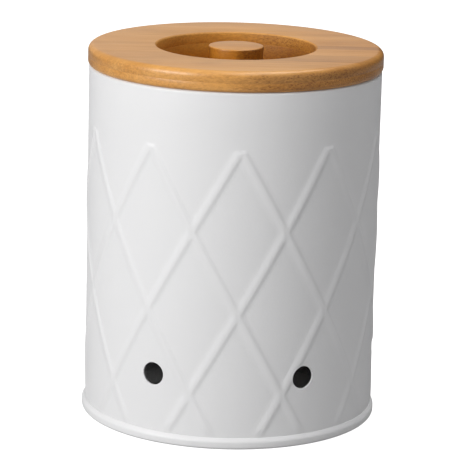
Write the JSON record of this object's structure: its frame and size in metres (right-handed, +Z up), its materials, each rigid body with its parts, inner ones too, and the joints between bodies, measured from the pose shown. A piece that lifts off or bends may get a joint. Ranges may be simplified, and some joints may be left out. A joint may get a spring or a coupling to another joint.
{
  "type": "garlic keeper",
  "caption": "Round embossed steel canister with air holes near its foot and a bamboo lid that lifts off by a knob in a round finger recess.",
  "frame": {"origin": "centre of the ring that the canister stands on", "axes": "+Z up along the canister's axis, -Y towards the front"},
  "size_m": [0.132, 0.132, 0.165],
  "materials": {
    "canister_coat": "white powder coat, satin",
    "base_coat": "white powder coat, satin",
    "bamboo_top": "bamboo strips, thin clear coat",
    "bamboo_middle": "bamboo strips, thin clear coat",
    "bamboo_bottom": "bamboo strips, thin clear coat",
    "bamboo_knob": "turned bamboo, thin clear coat",
    "screw_steel": "zinc-plated steel",
    "seal_silicone": "translucent white silicone, matte"
  },
  "bodies": {
    "canister": {"canister_wall": "canister_coat", "canister_base": "base_coat"},
    "lid": {"lid_top_board": "bamboo_top", "lid_middle_board": "bamboo_middle", "lid_bottom_board": "bamboo_bottom", "lid_knob": "bamboo_knob", "knob_screw": "screw_steel", "lid_seal": "seal_silicone"}
  },
  "joints": [
    {"name": "lid_lift", "type": "slide", "parent": "canister", "child": "lid", "axis": [0, 0, 1], "range_m": [0, 0.15]}
  ]
}
